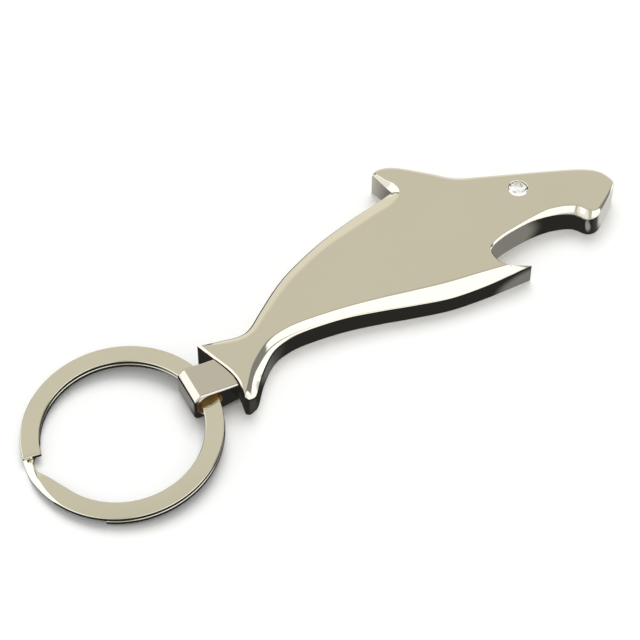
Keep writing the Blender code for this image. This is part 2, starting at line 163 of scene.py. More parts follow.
# Panels: azimuth, half-widths in degrees of the whole and of the dying light, strength,
# colour, and the share of light at sines of the height over the horizon
PANELS = (
    # window, its upper lights and its curtain
    (146, 25, 38, 1.65, DAYLIGHT, ((0.0, 1.0), (0.52, 1.0), (0.58, 0.0))),
    (153, 44, 54, 1.65, DAYLIGHT, ((0.46, 0.0), (0.52, 1.0), (0.90, 1.0), (0.95, 0.0))),
    (182, 30, 44, 1.15, DAYLIGHT, ((0.03, 0.0), (0.08, 1.0), (0.90, 1.0), (0.95, 0.0))),
    # high and near softbox, and a low bright wall
    (290, 45, 52, 1.65, DAYLIGHT, ((0.58, 0.0), (0.64, 1.0), (0.90, 1.0), (0.95, 0.0))),
    (304, 28, 35, 1.65, DAYLIGHT, ((0.30, 0.0), (0.36, 1.0), (0.66, 1.0), (0.72, 0.0))),
    (317, 63, 71, 1.65, DAYLIGHT, ((0.0, 1.0), (0.16, 1.0), (0.21, 0.0))),
    # backdrop, wall behind the camera and ceiling
    (62, 36, 45, 1.06, BEIGE_WALL,
     ((0.0, 1.0), (0.35, 0.92), (0.6, 0.75), (0.86, 0.75), (0.95, 0.0))),
    (240, 42, 54, 0.80, BEIGE_WALL, ((0.0, 1.0), (0.86, 0.9), (0.95, 0.0))),
    (0, 178, 179, 0.68, BEIGE_WALL, ((0.85, 0.0), (0.93, 1.0))),
)

# What mirrors see of the table: white paper, and on it soft patches of painted shadow and of
# painted light that falls in again, seen by glossy rays only: x, y, half-widths, share of them
# that is whole, tone
TABLE_HALF_WIDTH = 4000.0
PAPER_TONE = 0.95
PAINTED_SHADE_AND_LIGHT_PATCHES = (
    (-30.0, -12.0, 79.0, 36.5, 0.76, 0.03),     # shade under and round the part
    (38.0, -4.5, 7.5, 6.0, 0.70, 0.72),         # before the nose
    (15.5, -6.5, 8.8, 4.0, 0.72, 0.28),         # in the mouth
    (28.2, -9.0, 2.4, 1.5, 0.50, 0.40),         # behind the hook
    (19.0, -10.5, 10.5, 3.4, 0.72, 0.26),       # beside the lower jaw
    (-46.5, -5.5, 3.2, 6.0, 0.50, 0.33),        # inside the key ring, by the link
    (-28.3, -8.8, 4.6, 2.8, 0.30, 0.17),        # in the hollow of the tail
    (-34.5, -15.5, 3.0, 3.0, 0.40, 0.07),       # before the lower prong
)

# Control points of the plate's outline, counter-clockwise from the nose: x, y, width
# and drop of the top bevel, softness of its inner border, width and drop of the steeper
# lip along its outer border, kind of corner, and where the top face ends if the width
# doesn't say
SMOOTH, SHARP = range(2)
MITRE_LIMIT = 0.3
JAW_FACE_END = (12.9, -10.35)
Knot = namedtuple("Knot", "x y width drop soft lip lip_drop corner face_end", defaults=(None,))
OUTLINE = [Knot(*row) for row in (
    (37.2, -2.15, 0.35, 0.35, 0.10, 0.08, 0.10, SMOOTH),    # nose
    (36.25, 0.1, 0.45, 0.32, 0.12, 0.08, 0.10, SMOOTH),
    (34.1, 1.8, 0.50, 0.32, 0.15, 0.08, 0.10, SMOOTH),
    (30.0, 3.65, 0.50, 0.32, 0.15, 0.08, 0.10, SMOOTH),     # forehead
    (18.8, 8.1, 0.55, 0.34, 0.15, 0.08, 0.10, SMOOTH),
    (14.3, 10.1, 0.70, 0.40, 0.15, 0.08, 0.10, SMOOTH),     # foot of the dorsal fin
    (11.0, 12.95, 0.60, 0.36, 0.15, 0.08, 0.10, SMOOTH),
    (7.3, 16.15, 0.55, 0.34, 0.15, 0.08, 0.10, SMOOTH),
    (5.2, 17.4, 0.55, 0.34, 0.12, 0.08, 0.10, SMOOTH),
    (3.3, 17.7, 0.50, 0.36, 0.10, 0.08, 0.10, SMOOTH),
    (2.25, 17.1, 0.00, 0.50, 0.12, 0.05, 0.08, SHARP, (2.9, 16.65)),      # tip of the fin
    (2.88, 15.3, 0.00, 0.80, 0.15, 0.05, 0.07, SMOOTH, (3.60, 15.05)),
    (3.3, 14.0, 0.00, 1.00, 0.15, 0.05, 0.07, SMOOTH, (4.30, 13.95)),
    (3.65, 12.75, 0.00, 1.05, 0.15, 0.03, 0.05, SHARP, (4.60, 12.8)),     # notch behind the
    (3.65, 12.75, 0.00, 1.05, 0.20, 0.03, 0.05, SMOOTH, (4.58, 12.1)),    # fin: the bevel
    (3.65, 12.75, 0.00, 1.05, 0.30, 0.03, 0.05, SMOOTH, (4.32, 11.35)),   # fans round its
    (3.65, 12.75, 0.00, 1.05, 0.45, 0.03, 0.05, SHARP, (3.70, 10.65)),    # corner
    (1.3, 12.25, 0.00, 1.15, 0.50, 0.12, 0.16, SMOOTH, (1.85, 9.75)),
    (-1.5, 11.7, 2.50, 1.25, 0.60, 0.20, 0.24, SMOOTH),
    (-5.4, 10.85, 2.55, 1.25, 0.60, 0.28, 0.33, SMOOTH),    # back
    (-12.4, 8.8, 2.10, 1.20, 0.60, 0.34, 0.40, SMOOTH),
    (-19.1, 6.0, 1.95, 1.15, 0.60, 0.36, 0.42, SMOOTH),
    (-23.0, 3.75, 1.85, 1.10, 0.60, 0.36, 0.42, SMOOTH),
    (-27.3, 0.6, 1.60, 1.00, 0.60, 0.36, 0.42, SMOOTH),
    (-30.2, -1.55, 1.40, 0.95, 0.60, 0.36, 0.42, SMOOTH),
    (-32.4, -2.15, 1.30, 0.85, 0.60, 0.34, 0.40, SMOOTH),   # tail stem, upper side
    (-35.3, -1.7, 1.10, 0.75, 0.40, 0.30, 0.36, SMOOTH),
    (-39.2, -1.15, 0.30, 0.45, 0.10, 0.05, 0.10, SHARP),    # upper prong
    (-38.05, -4.4, 0.27, 0.30, 0.08, 0.05, 0.08, SMOOTH),   # crescent
    (-36.85, -7.8, 0.27, 0.30, 0.08, 0.05, 0.08, SMOOTH),
    (-36.5, -10.4, 0.27, 0.30, 0.08, 0.05, 0.08, SMOOTH),
    (-36.95, -13.55, 0.00, 0.30, 0.05, 0.04, 0.08, SHARP, (-36.85, -13.3)),   # lower prong
    (-36.35, -13.95, 0.00, 0.95, 0.05, 0.76, 0.91, SMOOTH, (-36.85, -13.3)),
    (-35.55, -13.75, 0.00, 1.45, 0.10, 0.85, 0.96, SMOOTH, (-36.5, -12.95)),
    (-34.4, -13.05, 1.76, 1.70, 0.20, 1.15, 1.25, SMOOTH),
    (-31.8, -9.9, 1.78, 1.80, 0.25, 1.10, 1.28, SMOOTH),
    (-28.6, -7.15, 1.45, 1.55, 0.25, 0.65, 0.90, SMOOTH),   # tail stem, lower side
    (-25.4, -6.1, 1.25, 1.45, 0.20, 0.35, 0.60, SMOOTH),
    (-21.8, -5.95, 1.20, 1.35, 0.20, 0.22, 0.40, SMOOTH),
    (-15.6, -6.6, 1.25, 1.30, 0.20, 0.12, 0.22, SMOOTH),
    (-9.7, -7.9, 1.60, 1.45, 0.20, 0.10, 0.17, SMOOTH),     # belly
    (-4.0, -9.45, 2.00, 1.55, 0.20, 0.10, 0.17, SMOOTH),
    (1.9, -10.8, 2.20, 1.65, 0.20, 0.10, 0.17, SMOOTH),
    (7.9, -11.3, 1.90, 1.55, 0.20, 0.10, 0.17, SMOOTH),
    (12.2, -11.38, 1.30, 1.30, 0.15, 0.10, 0.15, SMOOTH),
    (16.4, -11.4, 0.00, 1.15, 0.00, 0.03, 0.05, SHARP, JAW_FACE_END),     # tip of the lower
    (13.5, -10.45, 0.00, 0.45, 0.00, 0.02, 0.05, SHARP, JAW_FACE_END),    # jaw
    (12.4, -9.5, 0.30, 0.30, 0.08, 0.06, 0.08, SMOOTH),
    (11.85, -8.3, 0.30, 0.30, 0.08, 0.06, 0.08, SMOOTH),    # back of the mouth
    (11.8, -6.6, 0.30, 0.30, 0.08, 0.06, 0.08, SMOOTH),
    (12.5, -5.5, 0.30, 0.30, 0.08, 0.06, 0.08, SMOOTH),
    (14.7, -4.7, 0.35, 0.30, 0.08, 0.06, 0.08, SMOOTH),
    (17.7, -4.2, 0.40, 0.30, 0.08, 0.06, 0.08, SMOOTH),     # upper jaw
    (21.0, -3.9, 0.55, 0.42, 0.10, 0.08, 0.10, SMOOTH),
    (24.1, -4.05, 0.95, 0.70, 0.15, 0.10, 0.12, SMOOTH),
    (26.5, -4.65, 1.10, 0.90, 0.15, 0.12, 0.18, SMOOTH),
    (27.9, -5.3, 0.00, 1.05, 0.15, 0.18, 0.30, SMOOTH, (28.75, -4.45)),
    (28.6, -6.0, 0.00, 1.25, 0.15, 0.30, 0.55, SMOOTH, (29.45, -5.1)),
    (29.1, -6.8, 0.00, 1.30, 0.15, 0.35, 0.60, SMOOTH, (29.97, -6.05)),   # hook that lifts
    (29.65, -7.45, 0.00, 1.15, 0.15, 0.25, 0.40, SMOOTH, (30.5, -6.55)),  # the cap
    (30.5, -7.75, 0.00, 0.90, 0.15, 0.12, 0.20, SMOOTH, (31.0, -6.85)),
    (31.6, -7.6, 0.00, 0.65, 0.15, 0.10, 0.15, SMOOTH, (31.65, -6.93)),
    (33.1, -6.65, 0.45, 0.45, 0.12, 0.08, 0.12, SMOOTH),
    (35.1, -5.15, 0.35, 0.35, 0.10, 0.08, 0.10, SMOOTH),
    (36.9, -3.5, 0.32, 0.35, 0.10, 0.08, 0.10, SMOOTH),
)]


def linear(code):
    """sRGB hex colour as linear RGBA."""
    shares = [int(code[i:i + 2], 16) / 255 for i in (1, 3, 5)]
    return (*(c / 12.92 if c <= 0.04045 else ((c + 0.055) / 1.055) ** 2.4 for c in shares), 1.0)


def grey(level):
    return (level, level, level, 1.0)


def grain(size):
    """Scale of a noise whose grains have a size in millimetres."""
    return 1 / (size * MM)


def bands(spacing):
    """Scale of a wave pattern whose bands lie a spacing in millimetres apart."""
    return math.tau / (WAVE_RADIANS * spacing * MM)


def set_inputs(tree, node, inputs):
    """Give each input its value, or a link from another node's output."""
    for socket, value in inputs.items():
        if isinstance(value, bpy.types.NodeSocket):
            tree.links.new(value, node.inputs[socket])
        else:
            node.inputs[socket].default_value = value


def add_node(tree, kind, inputs, **settings):
    node = tree.nodes.new(kind)
    for name, value in settings.items():
        setattr(node, name, value)
    set_inputs(tree, node, inputs)
    return node


def new_material(name):
    """A new material, its nodes, its shader and the place on the piece."""
    material = bpy.data.materials.new(name)
    material.use_nodes = True
    tree = material.node_tree
    spot = add_node(tree, "ShaderNodeTexCoord", {}).outputs["Object"]
    return material, tree, tree.nodes["Principled BSDF"], spot


def polished_nickel(name, colours, dull, line_turn):
    """Bright nickel over a buffed casting: a warm mirror with faint buffing lines
    and slow waves, a little duller here and there where fingers have been."""
    material, tree, shader, spot = new_material(name)
    # Real buffing lines are about a hundredth of a millimetre wide, too fine to show
    length = 1.11
    width = 0.0793
    turned = add_node(tree, "ShaderNodeMapping", {
        "Vector": spot, "Rotation": (0.0, 0.0, line_turn), "Scale": (1.0, length / width, 1.0)})
    lines = add_node(tree, "ShaderNodeTexNoise", {
        "Vector": turned.outputs["Vector"], "Scale": grain(length), "Detail": 4.0,
        "Roughness": 0.6})
    waves = add_node(tree, "ShaderNodeTexNoise", {
        "Vector": spot, "Scale": grain(9.1), "Detail": 1.0})
    smears = add_node(tree, "ShaderNodeTexNoise", {
        "Vector": spot, "Scale": grain(16.7), "Detail": 3.0, "Roughness": 0.55})
    gloss = add_node(tree, "ShaderNodeMapRange", {
        "Value": smears.outputs["Fac"], "From Min": 0.35, "From Max": 0.75,
        "To Min": dull, "To Max": dull + 0.05})
    tint = add_node(tree, "ShaderNodeMixRGB", {
        "Fac": smears.outputs["Fac"], "Color1": linear(colours[0]), "Color2": linear(colours[1])})
    slow = add_node(tree, "ShaderNodeBump", {
        "Height": waves.outputs["Fac"], "Strength": 0.05, "Distance": 0.2 * MM})
    fine = add_node(tree, "ShaderNodeBump", {
        "Height": lines.outputs["Fac"], "Normal": slow.outputs["Normal"],
        "Strength": 0.04, "Distance": 0.02 * MM})
    set_inputs(tree, shader, {
        "Metallic": 1.0, "Base Color": tint.outputs["Color"],
        "Roughness": gloss.outputs["Result"], "Normal": fine.outputs["Normal"]})
    return material


def turned_metal(name, colours, metallic):
    """Drilled or turned metal without bright plating: brown to yellow, with fine turning
    rings and darker stains. Stained metal in a bore shines less than a clean rivet."""
    material, tree, shader, spot = new_material(name)
    stains = add_node(tree, "ShaderNodeTexNoise", {
        "Vector": spot, "Scale": grain(1.43), "Detail": 4.0, "Roughness": 0.6})
    # Real turning rings are about a tenth of a millimetre apart, too fine to show
    rings = add_node(tree, "ShaderNodeTexWave", {
        "Vector": spot, "Scale": bands(0.349), "Distortion": 1.5}, bands_direction="Y")
    tint = add_node(tree, "ShaderNodeMixRGB", {
        "Fac": stains.outputs["Fac"], "Color1": linear(colours[0]), "Color2": linear(colours[1])})
    cut = add_node(tree, "ShaderNodeBump", {
        "Height": rings.outputs["Fac"], "Strength": 0.2, "Distance": 0.04 * MM})
    set_inputs(tree, shader, {
        "Metallic": metallic, "Roughness": 0.32, "Base Color": tint.outputs["Color"],
        "Normal": cut.outputs["Normal"]})
    return material


def cut_glass(name):
    """Cut lead glass: clear and hard-edged, with the faintest rubbed haze on its facets."""
    material, tree, shader, spot = new_material(name)
    rub = add_node(tree, "ShaderNodeTexNoise", {
        "Vector": spot, "Scale": grain(0.667), "Detail": 3.0})
    haze = add_node(tree, "ShaderNodeMapRange", {
        "Value": rub.outputs["Fac"], "From Min": 0.5, "From Max": 0.9,
        "To Min": 0.0, "To Max": 0.05})
    set_inputs(tree, shader, {
        "Base Color": linear("#fdfdfb"), "Transmission Weight": 1.0, "IOR": 1.57,
        "Roughness": haze.outputs["Result"]})
    return material


def silver_foil(name):
    """Silvered foil under the stone: a bright, slightly crumpled mirror."""
    material, tree, shader, spot = new_material(name)
    folds = add_node(tree, "ShaderNodeTexNoise", {
        "Vector": spot, "Scale": grain(0.833), "Detail": 2.0})
    crumple = add_node(tree, "ShaderNodeBump", {
        "Height": folds.outputs["Fac"], "Strength": 0.3, "Distance": 0.1 * MM})
    set_inputs(tree, shader, {
        "Base Color": linear("#fafaf8"), "Metallic": 0.3, "Roughness": 0.25,
        "Normal": crumple.outputs["Normal"]})
    return material


def white_paper(name):
    """White paper with a fine tooth. Mirrors see an emission in its place: its tone with painted
    shadow and painted light patches.
    """
    material, tree, shader, spot = new_material(name)
    # Real tooth is about a tenth of a millimetre, too fine to show
    tooth = add_node(tree, "ShaderNodeTexNoise", {
        "Vector": spot, "Scale": grain(0.4), "Detail": 2.0})
    rough = add_node(tree, "ShaderNodeBump", {
        "Height": tooth.outputs["Fac"], "Strength": 0.05, "Distance": 0.05 * MM})
    set_inputs(tree, shader, {
        "Base Color": linear("#f6f6f5"), "Roughness": 0.9, "Specular IOR Level": 0.0,
        "Normal": rough.outputs["Normal"]})
    tone = PAPER_TONE
    # Painted shade and painted light: each patch darkens or lightens the tone that mirrors see
    for x, y, reach_x, reach_y, whole, painted_patch_tone in PAINTED_SHADE_AND_LIGHT_PATCHES:
        away = add_node(tree, "ShaderNodeVectorMath", {
            0: spot, 1: (x * MM, y * MM, 0.0)}, operation="SUBTRACT")
        share = add_node(tree, "ShaderNodeVectorMath", {
            0: away.outputs["Vector"], 1: (reach_x * MM, reach_y * MM, 1.0)}, operation="DIVIDE")
        reach = add_node(tree, "ShaderNodeVectorMath", {
            0: share.outputs["Vector"]}, operation="LENGTH")
        inside = add_node(tree, "ShaderNodeMapRange", {
            "Value": reach.outputs["Value"], "From Min": whole, "From Max": 1.0,
            "To Min": 1.0, "To Max": 0.0}, interpolation_type="SMOOTHSTEP")
        tone = add_node(tree, "ShaderNodeMix", {
            "Factor": inside.outputs["Result"], "A": tone, "B": painted_patch_tone},
            data_type="FLOAT").outputs["Result"]
    # Glossy rays see this painted emission instead of the lit paper, so the metal mirrors the
    # painted shadow
    painted_mirror_emission = add_node(tree, "ShaderNodeEmission", {"Strength": tone})
    path = add_node(tree, "ShaderNodeLightPath", {})
    seen = add_node(tree, "ShaderNodeMixShader", {
        0: path.outputs["Is Glossy Ray"], 1: shader.outputs["BSDF"],
        2: painted_mirror_emission.outputs["Emission"]})
    set_inputs(tree, tree.nodes["Material Output"], {"Surface": seen.outputs["Shader"]})
    return material


def mesh_from(name, work):
    mesh = bpy.data.meshes.new(name)
    work.to_mesh(mesh)
    work.free()
    return mesh


def add_object(name, data):
    added = bpy.data.objects.new(name, data)
    bpy.context.scene.collection.objects.link(added)
    return added


def add_cutter(name, work):
    bmesh.ops.recalc_face_normals(work, faces=work.faces)
    return add_object(name, mesh_from(name, work))


def add_piece(name, work, materials, body, node, crease_deg=PIECE_CREASE_DEG):
    """Turn finished mesh work into a piece that rides on a body and stands for a CAD node."""
    mesh = mesh_from(name, work)
    mesh.shade_smooth()
    mesh.set_sharp_from_angle(angle=math.radians(crease_deg))
    for material in materials:
        mesh.materials.append(material)
    piece = add_object(name, mesh)
    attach(piece, body)
    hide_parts(node)
    return piece


def even_normals(piece):
    """Large flat faces keep their own direction, so that they mirror without waves."""
    weighted = piece.modifiers.new("even_normals", "WEIGHTED_NORMAL")
    weighted.mode = "FACE_AREA"
    weighted.weight = 100
    weighted.keep_sharp = True


def verts_of(geometry):
    """The vertices among what an operator made."""
    return [item for item in geometry if isinstance(item, bmesh.types.BMVert)]


def extrude_ring(work, ring):
    """Extrude a closed ring of edges. Returns the new vertices and the new ring."""
    grown = bmesh.ops.extrude_edge_only(work, edges=ring)["geom"]
    verts = set(verts_of(grown))
    edges = [item for item in grown
             if isinstance(item, bmesh.types.BMEdge) and verts.issuperset(item.verts)]
    return verts, edges


def grow_wall(work, sections):
    """A closed wall through the sections' points. Returns its first and last ring."""
    mark = work.verts.layers.int.new("sample")
    verts = []
    for index, section in enumerate(sections):
        vert = work.verts.new(section[0] * MM)
        vert[mark] = index
        verts.append(vert)
    first = [work.edges.new(pair) for pair in zip(verts, verts[1:] + verts[:1])]
    ring = first
    for level in range(1, len(sections[0])):
        lifted, ring = extrude_ring(work, ring)
        for vert in lifted:
            vert.co = sections[vert[mark]][level] * MM
    return first, ring


def turn_profile(work, profile, sides):
    """Turn (radius, height) pairs about the upright axis."""
    verts = [work.verts.new((radius * MM, 0.0, height * MM)) for radius, height in profile]
    edges = [work.edges.new(pair) for pair in zip(verts, verts[1:])]
    bmesh.ops.spin(work, geom=verts + edges, cent=(0, 0, 0), axis=(0, 0, 1),
                   angle=math.tau, steps=sides, use_merge=True)
    bmesh.ops.remove_doubles(work, verts=work.verts, dist=MERGE * MM)


def catmull_rom(before, start, end, after, share):
    """Point at a share of the way from start to end on a smooth curve."""
    square = share * share
    cube = square * share
    return (0.5 * ((2 * start) + (end - before) * share
                   + (2 * before - 5 * start + 4 * end - after) * square
                   + (3 * start - before - 3 * end + after) * cube))


def edge_directions(spots):
    """Unit vectors along the edges of a closed outline, each from its first point."""
    return [(end - start).normalized() for start, end in zip(spots, spots[1:] + spots[:1])]


def along_outline(edges):
    """Unit vectors along a closed outline at its points, halfway between adjoining edges."""
    return [(last + following).normalized()
            for last, following in zip(edges[-1:] + edges[:-1], edges)]


def left_of(direction):
    return Vector((-direction.y, direction.x))


def knot_bevels():
    """For each control point, the step from the plate's edge to its top face."""
    spots = [Vector((knot.x, knot.y)) for knot in OUTLINE]
    edges = edge_directions(spots)
    steps = []
    for knot, spot, edge, along in zip(OUTLINE, spots, edges, along_outline(edges)):
        mitre = max(MITRE_LIMIT, along.dot(edge)) if knot.corner == SHARP else 1.0
        step = left_of(along) * knot.width / mitre
        steps.append(Vector(knot.face_end) - spot if knot.face_end else step)
    return steps


def outline_samples():
    """The plate's outline: x, y, step x and y, drop and softness of the bevel, lip."""
    count = len(OUTLINE)
    knots = [Vector((knot.x, knot.y, *step, knot.drop, knot.soft, knot.lip, knot.lip_drop))
             for knot, step in zip(OUTLINE, knot_bevels())]
    sharp = [knot.corner == SHARP for knot in OUTLINE]
    samples = []
    for index in range(count):
        following = (index + 1) % count
        start = knots[index]
        end = knots[following]
        before = start * 2 - end if sharp[index] else knots[index - 1]
        after = end * 2 - start if sharp[following] else knots[(index + 2) % count]
        for step in range(SPAN_STEPS):
            samples.append(catmull_rom(before, start, end, after, step / SPAN_STEPS))
    return samples


def softened(corner, before, after, reach):
    """Points of a small round that takes the place of a corner."""
    ends = []
    for side in (before - corner, after - corner):
        ends.append(corner + side.normalized() * min(reach, side.length * CREASE_REACH))
    points = []
    for step in range(CREASE_STEPS + 1):
        share = step / CREASE_STEPS
        points.append(ends[0].lerp(corner, share).lerp(corner.lerp(ends[1], share), share))
    return points


def plate_section(sample):
    """Section of the plate's edge at one sample, from its back up to its top face."""
    x, y, step_x, step_y, drop, soft, lip, lip_drop = sample
    foot = Vector((x, y, 0.0))
    step = Vector((step_x, step_y, 0.0))
    into = step.normalized()
    up = Vector((0.0, 0.0, 1.0))
    back = foot + into * BACK_INSET
    wall_top = foot + up * (PLATE_THICK - drop)
    ridge = wall_top + into * lip + up * lip_drop
    face = foot + step + up * PLATE_THICK
    inside = face + into * soft * FACE_MARGIN
    return ([back] + softened(foot, back, wall_top, BACK_CREASE)
            + softened(wall_top, foot, ridge, LIP_FOOT_SHARE * lip_drop)
            + softened(ridge, wall_top, face, LIP_HEAD_SHARE * lip_drop)
            + softened(face, ridge, inside, soft))


def add_shark_plate(nickel):
    """The plate's edge grown round its outline, its back and face, and the eye's pocket."""
    work = bmesh.new()
    back, face = grow_wall(work, [plate_section(sample) for sample in outline_samples()])
    centre = Vector((STONE_X, STONE_Y, PLATE_THICK)) * MM
    mouth = bmesh.ops.create_circle(
        work, segments=POCKET_SIDES, radius=(POCKET_RADIUS + POCKET_CHAMFER) * MM,
        matrix=Matrix.Translation(centre))["verts"]
    ring = list(dict.fromkeys(edge for vert in mouth for edge in vert.link_edges))
    bmesh.ops.triangle_fill(work, edges=back, use_beauty=True)
    bmesh.ops.triangle_fill(work, edges=face + ring, use_beauty=True)
    for height in (PLATE_THICK - POCKET_CHAMFER, POCKET_FLOOR):
        lowered, ring = extrude_ring(work, ring)
        for vert in lowered:
            out = (vert.co - centre).to_2d().normalized() * POCKET_RADIUS * MM
            vert.co = (centre.x + out.x, centre.y + out.y, height * MM)
    bmesh.ops.triangle_fill(work, edges=ring, use_beauty=True)
    bmesh.ops.remove_doubles(work, verts=work.verts, dist=PLATE_MERGE * MM)
    bmesh.ops.dissolve_degenerate(work, edges=work.edges, dist=MERGE * MM)
    bmesh.ops.recalc_face_normals(work, faces=work.faces)
    even_normals(add_piece("shark_plate", work, [nickel], "opener", "shark_body"))


def link_profile():
    """Side view of the link round the middle of its eye: x, z pairs."""
    half_heel = LINK_HEEL_THICK / 2
    reach = math.hypot(LINK_HEEL_X, half_heel)
    rise = math.asin(BARREL_RADIUS / reach) - math.atan2(half_heel, LINK_HEEL_X)
    top_end = LINK_END - LINK_CHAMFER
    top_z = half_heel + (LINK_HEEL_X + top_end) * math.tan(rise)
    points = [(LINK_HEEL_X, half_heel), (-top_end, top_z), (-LINK_END, top_z - LINK_CHAMFER)]
    for step in range(LINK_FOOT_STEPS + 1):
        angle = math.radians(180 + 90 * step / LINK_FOOT_STEPS)
        points.append((LINK_FOOT_ROUND * (1 + math.cos(angle)) - LINK_END,
                       LINK_FOOT_ROUND * (1 + math.sin(angle)) - BARREL_RADIUS))
    return points + [(0.0, -BARREL_RADIUS), (LINK_HEEL_X, -half_heel)]


def link_blank():
    """The link's side view drawn out to its width, with rounded edges."""
    work = bmesh.new()
    half = LINK_WIDTH / 2
    side = work.faces.new([work.verts.new((x * MM, -half * MM, z * MM))
                           for x, z in link_profile()])
    drawn = bmesh.ops.extrude_face_region(work, geom=[side])["geom"]
    bmesh.ops.translate(work, verts=verts_of(drawn), vec=(0, LINK_WIDTH * MM, 0))
    bmesh.ops.recalc_face_normals(work, faces=work.faces)
    edges = [edge for edge in work.edges
             if edge.calc_face_angle() > math.radians(LINK_EDGE_LEAST_DEG)]
    bmesh.ops.bevel(work, geom=edges, offset=LINK_EDGE * MM, offset_type="OFFSET",
                    segments=LINK_EDGE_STEPS, profile=0.5, affect="EDGES",
                    clamp_overlap=True, material=-1)
    bmesh.ops.translate(work, verts=work.verts, vec=EYE_CENTRE * MM)
    return add_object("link_blank", mesh_from("link_blank", work))


def eye_cutter():
    """The link's cross-drilled eye, flared at both mouths."""
    work = bmesh.new()
    half = LINK_WIDTH / 2
    rim = EYE_RADIUS + EYE_FLARE
    flare = []
    for angle in range(90, -1, -EYE_FLARE_STEP_DEG):
        turn = math.radians(angle)
        flare.append((rim - EYE_FLARE * math.cos(turn),
                      half - EYE_FLARE * (1 - math.sin(turn))))
    upper = [(0, half + EYE_CUT_SPARE), (rim, half + EYE_CUT_SPARE)] + flare
    turn_profile(work, upper + [(radius, -height) for radius, height in upper[::-1]], EYE_SIDES)
    bmesh.ops.rotate(work, verts=work.verts, cent=(0, 0, 0),
                     matrix=Matrix.Rotation(math.radians(90), 3, "X"))
    bmesh.ops.translate(work, verts=work.verts, vec=EYE_CENTRE * MM)
    return add_cutter("eye_cutter", work)


def heel_cutter():
    """The plate's outline grown by the heel's gap, taller than the link."""
    work = bmesh.new()
    spots = [sample.to_2d() for sample in outline_samples()]
    ways = along_outline(edge_directions(spots))
    grown = [spot - left_of(along) * LINK_HEEL_GAP for spot, along in zip(spots, ways)]
    floor = work.faces.new([work.verts.new((spot.x * MM, spot.y * MM, HEEL_CUT_FOOT * MM))
                            for spot in grown])
    raised = bmesh.ops.extrude_face_region(work, geom=[floor])["geom"]
    bmesh.ops.translate(work, verts=verts_of(raised), vec=(0, 0, HEEL_CUT_HEIGHT * MM))
    return add_cutter("heel_cutter", work)


def place_of(item):
    """The places of the vertices of a vertex, an edge or a face, lowest first."""
    verts = [item] if isinstance(item, bmesh.types.BMVert) else item.verts
    return sorted(tuple(vert.co) for vert in verts)


def order_by_place(work):
    """A cut leaves vertices, edges and faces in another order each time. Here only their
    places decide it, so that what is merged next comes out the same."""
    for items in (work.verts, work.edges, work.faces):
        ranks = {item: rank for rank, item in enumerate(sorted(items, key=place_of))}
        items.sort(key=ranks.get)


def add_tail_link(nickel, bore):
    """The blank with its eye drilled and its heel cut to the crescent of the tail."""
    blank = link_blank()
    cutters = (eye_cutter(), heel_cutter())
    for cutter in cutters:
        boolean = blank.modifiers.new(cutter.name, "BOOLEAN")
        boolean.operation = "DIFFERENCE"
        boolean.solver = "EXACT"
        boolean.object = cutter
    bpy.context.view_layer.update()
    cut_mesh = bpy.data.meshes.new_from_object(
        blank.evaluated_get(bpy.context.evaluated_depsgraph_get()))
    for spent in (blank, *cutters):
        bpy.data.objects.remove(spent)
    work = bmesh.new()
    work.from_mesh(cut_mesh)
    order_by_place(work)
    bmesh.ops.remove_doubles(work, verts=work.verts, dist=LINK_MERGE * MM)
    bmesh.ops.dissolve_limit(work, angle_limit=math.radians(LINK_FLAT_DEG),
                             verts=work.verts, edges=work.edges)
    bmesh.ops.recalc_face_normals(work, faces=work.faces)
    bore_end = LINK_WIDTH / 2 - BORE_RIM
    for face in work.faces:
        spot = face.calc_center_median() / MM - EYE_CENTRE
        out = Vector((spot.x, 0.0, spot.z))
        near = out.length < EYE_RADIUS + BORE_SPARE and abs(spot.y) < bore_end
        if near and face.normal.dot(out) < 0:
            face.material_index = 1
    even_normals(add_piece("tail_link_casting", work, [nickel, bore], "link",
                           "tail_link"))


def rise_at(angle, climb):
    """Height of the strip's middle at an angle along both turns."""
    share = min(1.0, max(0.0, (angle - 360 - RING_RAMP_FOOT_DEG) / RING_RAMP_DEG))
    return climb * (0.5 - 0.5 * math.cos(math.pi * share)) - climb / 2


def chord_radius(angle, start, end):
    """Where a ray at an angle meets the straight line between two (radius, angle) points."""
    first = Vector((start[0] * math.cos(start[1]), start[0] * math.sin(start[1])))
    last = Vector((end[0] * math.cos(end[1]), end[0] * math.sin(end[1])))
    side = left_of(last - first)
    return side.dot(first) / side.dot(Vector((math.cos(angle), math.sin(angle))))


def shape_crossover(work, turn, climb):
    """Narrow the strip where it crosses up between the turns, and lean its outer border."""
    outer = RING_OUTER_DIA / 2
    inner = outer - RING_BAND
    foot = RING_RAMP_FOOT_DEG + 360
    lead = foot + CROSS_LEAD_DEG
    end = foot + CROSS_LENGTH_DEG
    narrow = (inner + CROSS_NARROW, math.radians(lead))
    full = (inner, math.radians(end))
    corner = RING_CORNER + CORNER_SPARE
    for vert in work.verts:
        angle = vert[turn]
        if not foot - CROSS_HIDDEN_DEG < angle < end:
            continue
        share = min(1.0, (angle - foot + CROSS_HIDDEN_DEG) / CROSS_HIDDEN_DEG,
                    (end - angle) / (end - lead))
        edge = inner + CROSS_NARROW * share
        if angle > lead:
            edge = chord_radius(math.radians(angle), narrow, full)
        radius = vert.co.to_2d().length / MM
        top = rise_at(angle, climb) + RING_STRIP / 2
        depth = (outer - radius) / RING_BAND * (outer - edge)
        drop = top - vert.co.z / MM
        if outer - radius < corner and drop < corner:
            along = math.atan2(RING_CORNER - outer + radius, RING_CORNER - drop) / (math.pi / 2)
            depth += (CROSS_LEAN * (1 - along) - depth) * share
            drop += (CROSS_LEAN_DROP * along - drop) * share
        vert.co.xy = vert.co.to_2d().normalized() * (outer - depth) * MM
        vert.co.z = (top - drop) * MM


